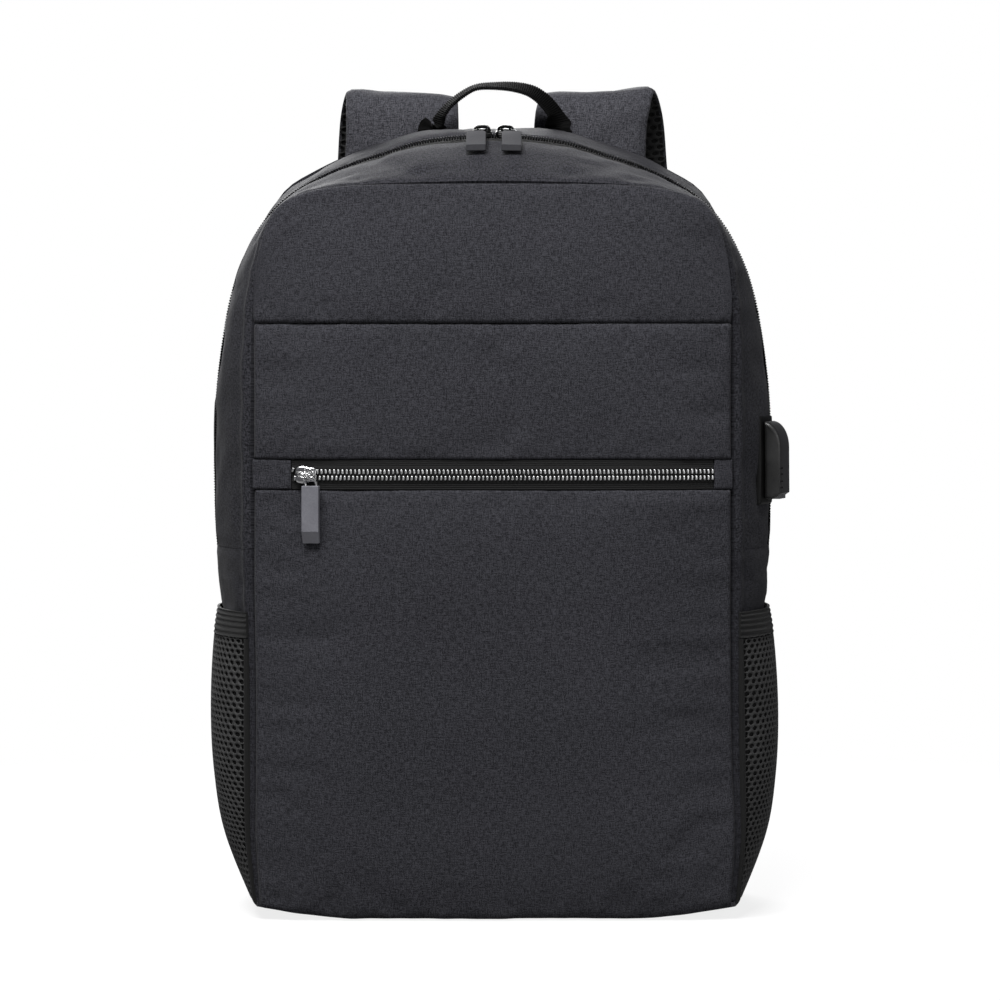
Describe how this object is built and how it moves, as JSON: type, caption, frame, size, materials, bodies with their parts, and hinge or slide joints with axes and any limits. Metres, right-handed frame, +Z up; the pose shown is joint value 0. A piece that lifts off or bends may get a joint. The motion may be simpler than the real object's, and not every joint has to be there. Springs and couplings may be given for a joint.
{
  "type": "laptop backpack",
  "caption": "Soft laptop backpack with an arched zipped top, a front zip pocket, net side pockets, a side charging port, a webbing handle and padded shoulder straps.",
  "frame": {"origin": "middle of the flat base, on the floor", "axes": "+Z up, -Y towards the front panel, +X towards the side with the charging port"},
  "size_m": [0.3197, 0.2024, 0.4592],
  "materials": {
    "cloth": "melange weave",
    "side_cloth": "melange weave",
    "tape": "woven tape",
    "coil": "satin coil",
    "teeth": "bright",
    "bright_metal": "bright",
    "dark_metal": "satin black",
    "rubber": "matt grey",
    "net": "spacer net",
    "webbing": "ribbed webbing",
    "plastic": "fine grain",
    "socket_metal": "satin"
  },
  "bodies": {
    "bag": {"front_upper": "cloth", "front_middle": "cloth", "front_lower": "cloth", "front_zip_tape": "tape", "front_zip_chain": "teeth", "zip_end_left": "cloth", "zip_end_right": "cloth", "gusset_front": "side_cloth", "gusset_rear": "side_cloth", "side_left": "side_cloth", "side_right": "side_cloth", "main_zip_tape": "tape", "main_zip_chain": "coil", "base_panel": "side_cloth", "back_panel": "side_cloth", "back_pad": "net", "pocket_left": "net", "pocket_band_left": "webbing", "pocket_right": "net", "pocket_band_right": "webbing", "front_slider": "bright_metal", "main_left_slider": "dark_metal", "main_right_slider": "dark_metal", "port_plate": "plastic", "port_hood": "plastic", "port_socket": "socket_metal", "port_tongue": "plastic", "handle": "webbing", "strap_left": "cloth", "strap_net_left": "net", "webbing_upper_left": "webbing", "buckle_left": "plastic", "anchor_left": "side_cloth", "webbing_lower_left": "webbing", "strap_right": "cloth", "strap_net_right": "net", "webbing_upper_right": "webbing", "buckle_right": "plastic", "anchor_right": "side_cloth", "webbing_lower_right": "webbing"},
    "front_pull": {"front_pull_loop": "bright_metal", "front_pull_tab": "rubber"},
    "main_left_pull": {"main_left_pull_loop": "dark_metal", "main_left_pull_tab": "rubber"},
    "main_right_pull": {"main_right_pull_loop": "dark_metal", "main_right_pull_tab": "rubber"}
  },
  "joints": [
    {"name": "front_pull_turn", "type": "hinge", "parent": "bag", "child": "front_pull", "pos_m": [-0.10199, -0.06916, 0.24107], "axis": [-0.9879, 0.155, -0.0049], "range_deg": [0, 150]},
    {"name": "main_left_pull_turn", "type": "hinge", "parent": "bag", "child": "main_left_pull", "pos_m": [-0.00595, 0.00391, 0.43153], "axis": [-0.9997, 0.0073, -0.0251], "range_deg": [0, 150]},
    {"name": "main_right_pull_turn", "type": "hinge", "parent": "bag", "child": "main_right_pull", "pos_m": [0.00728, 0.00391, 0.43149], "axis": [-0.9995, -0.0088, 0.0302], "range_deg": [0, 150]}
  ]
}
